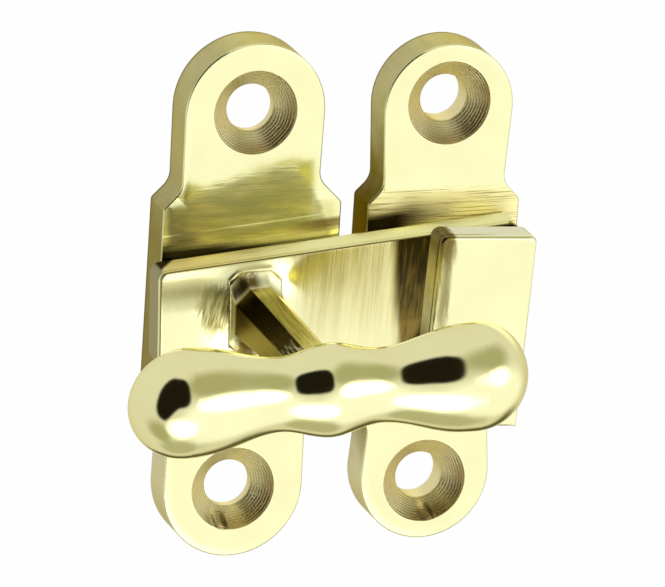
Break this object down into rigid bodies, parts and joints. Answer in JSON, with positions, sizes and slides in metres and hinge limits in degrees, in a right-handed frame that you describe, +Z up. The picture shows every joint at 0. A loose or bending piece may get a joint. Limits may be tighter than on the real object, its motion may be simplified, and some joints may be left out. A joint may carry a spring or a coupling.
{
  "type": "cupboard fastener",
  "caption": "Cast brass cupboard turn: a knob on a neck swings a flat tongue on its back plate into the open hook of a keeper plate beside it.",
  "frame": {"origin": "on the pivot axis of the turn, at the back of the plates", "axes": "+X to the right, towards the keeper plate; +Z up; -Y out of the front, towards the hand; the backs lie at y = 0"},
  "size_m": [0.0472, 0.0345, 0.0518],
  "materials": {
    "turn_plate_brass": "polished cast brass, brushed in places",
    "keeper_plate_brass": "polished cast brass, brushed in places",
    "turn_brass": "mirror-polished cast brass",
    "washer_brass": "rolled brass sheet"
  },
  "bodies": {
    "plates": {"turn_plate": "turn_plate_brass", "keeper_plate": "keeper_plate_brass", "washer": "washer_brass"},
    "turn": {"turn": "turn_brass"}
  },
  "joints": [
    {"name": "turn_pivot", "type": "hinge", "parent": "plates", "child": "turn", "pos_m": [0, 0, 0], "axis": [0, -1, 0], "range_deg": [0, 300]}
  ]
}
